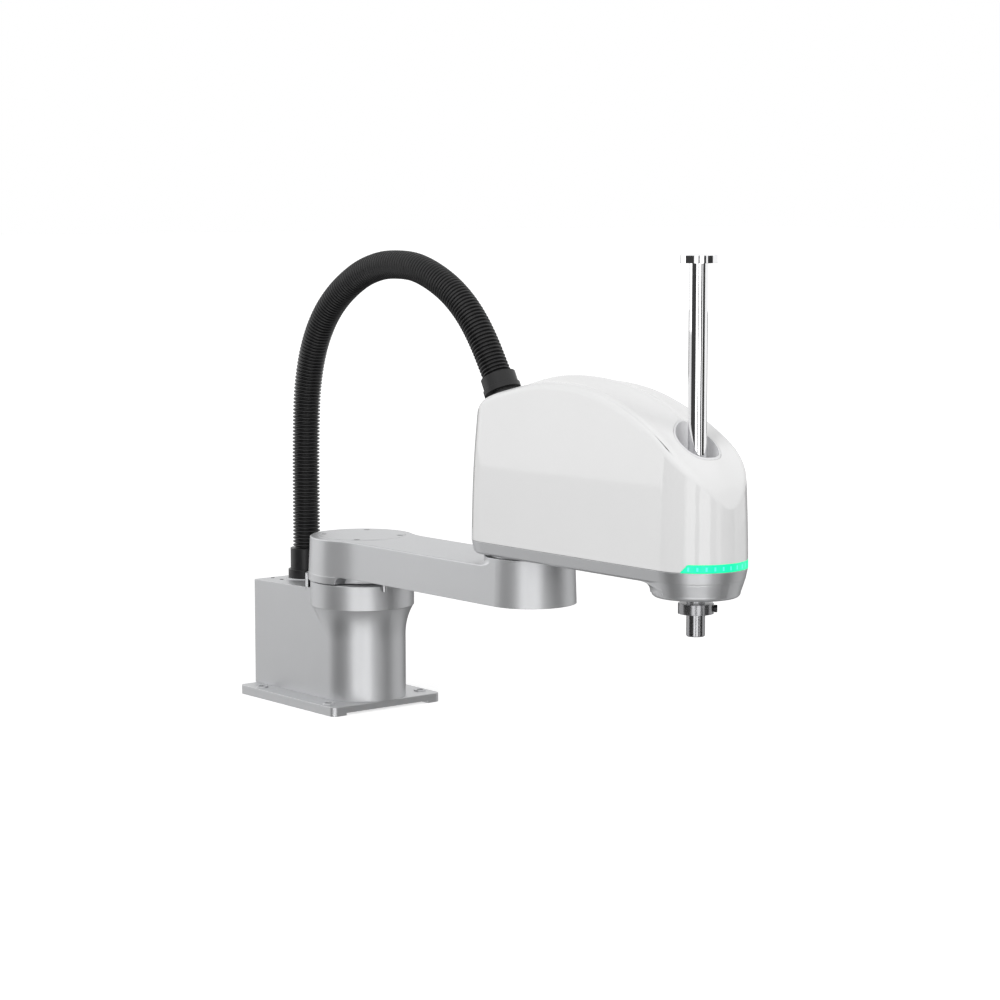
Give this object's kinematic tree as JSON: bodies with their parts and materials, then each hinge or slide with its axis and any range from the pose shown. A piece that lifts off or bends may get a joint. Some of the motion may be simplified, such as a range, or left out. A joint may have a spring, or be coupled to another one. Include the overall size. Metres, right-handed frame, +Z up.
{
  "type": "scara robot arm",
  "caption": "Horizontal jointed arm robot: cast base, arm turning on its column, second arm with moulded cover, lifting and turning spline shaft, and a corrugated conduit arching over.",
  "frame": {"origin": "on the axis of joint 1 at the plane of the base's feet", "axes": "+X along both arms stretched out from the base to the shaft, +Y to the left, +Z up"},
  "size_m": [0.825, 0.164, 0.5674],
  "materials": {
    "casting": "satin",
    "machined": "satin",
    "steel": "satin",
    "dark_screw": "satin",
    "motor_black": "satin",
    "conduit": "matte",
    "gland": "satin",
    "light": "gloss",
    "cover": "satin",
    "grey_plastic": "satin",
    "shaft": "polished",
    "belt": "matte",
    "seal": "satin",
    "connector": "satin",
    "fitting": "satin"
  },
  "bodies": {
    "base": {"base_plate": "casting", "base_casting": "casting", "box_top_screws": "dark_screw", "rear_panel": "machined", "power_connector": "connector", "signal_connector": "connector", "user_connector": "connector", "air_fittings": "fitting", "panel_screws": "dark_screw", "base_gland": "gland", "base_gland_nut": "gland", "j1_motor": "motor_black", "j1_reducer_housing": "steel", "conduit_lower": "conduit"},
    "arm_1_body": {"arm_1": "casting", "arm1_cap": "casting", "arm1_cap_screws": "dark_screw", "j1_output_hub": "steel", "j1_stop_pins": "steel", "j2_reducer_housing": "steel", "j2_stop_pin": "steel", "conduit_upper": "conduit"},
    "arm_2_body": {"arm_2_casting": "casting", "j2_output_hub": "steel", "light_strip": "light", "cover": "cover", "cover_screws": "dark_screw", "shaft_well_sleeve": "grey_plastic", "arm_gland": "gland", "j2_motor": "motor_black", "motor_bracket": "machined", "z_motor": "motor_black", "j4_motor": "motor_black", "spline_bearing": "steel", "ball_nut_bearing": "steel", "shaft_seal": "seal", "z_belt": "belt", "j4_belt": "belt"},
    "spline_rotor": {"spline_nut": "steel", "spline_pulley": "machined"},
    "shaft_body": {"shaft": "shaft", "top_stop_collar": "steel", "lower_collar": "steel", "collar_screws": "dark_screw"},
    "ball_nut_rotor": {"ball_nut": "steel", "ball_nut_pulley": "machined"},
    "z_drive": {"z_motor_pulley": "machined"},
    "j4_drive": {"j4_motor_pulley": "machined"}
  },
  "joints": [
    {"name": "j1_shoulder", "type": "hinge", "parent": "base", "child": "arm_1_body", "pos_m": [0, 0, 0], "axis": [0, 0, 1], "range_deg": [-110, 110], "deforming": ["conduit_lower"]},
    {"name": "j2_elbow", "type": "hinge", "parent": "arm_1_body", "child": "arm_2_body", "pos_m": [0.325, 0, 0], "axis": [0, 0, 1], "range_deg": [-145, 145], "deforming": ["conduit_upper"]},
    {"name": "j4_turn", "type": "hinge", "parent": "arm_2_body", "child": "spline_rotor", "pos_m": [0.6, 0, 0], "axis": [0, 0, 1], "range_deg": [-360, 360]},
    {"name": "j3_lift", "type": "slide", "parent": "spline_rotor", "child": "shaft_body", "axis": [0, 0, 1], "range_m": [-0.2, 0]},
    {"name": "ball_nut_spin", "type": "hinge", "parent": "spline_rotor", "child": "ball_nut_rotor", "pos_m": [0.6, 0, 0], "axis": [0, 0, 1], "range_deg": [-3601, 1]},
    {"name": "z_motor_spin", "type": "hinge", "parent": "arm_2_body", "child": "z_drive", "pos_m": [0.425, 0, 0], "axis": [0, 0, 1], "range_deg": [-3601, 1]},
    {"name": "j4_motor_spin", "type": "hinge", "parent": "arm_2_body", "child": "j4_drive", "pos_m": [0.505, 0, 0], "axis": [0, 0, 1], "range_deg": [-721, 721]}
  ],
  "couplings": [
    {"joint": "ball_nut_spin", "follows": "j3_lift", "rad_per_m": 314.16},
    {"joint": "z_motor_spin", "follows": "j3_lift", "rad_per_m": 314.16},
    {"joint": "j4_motor_spin", "follows": "j4_turn", "ratio": 2}
  ]
}
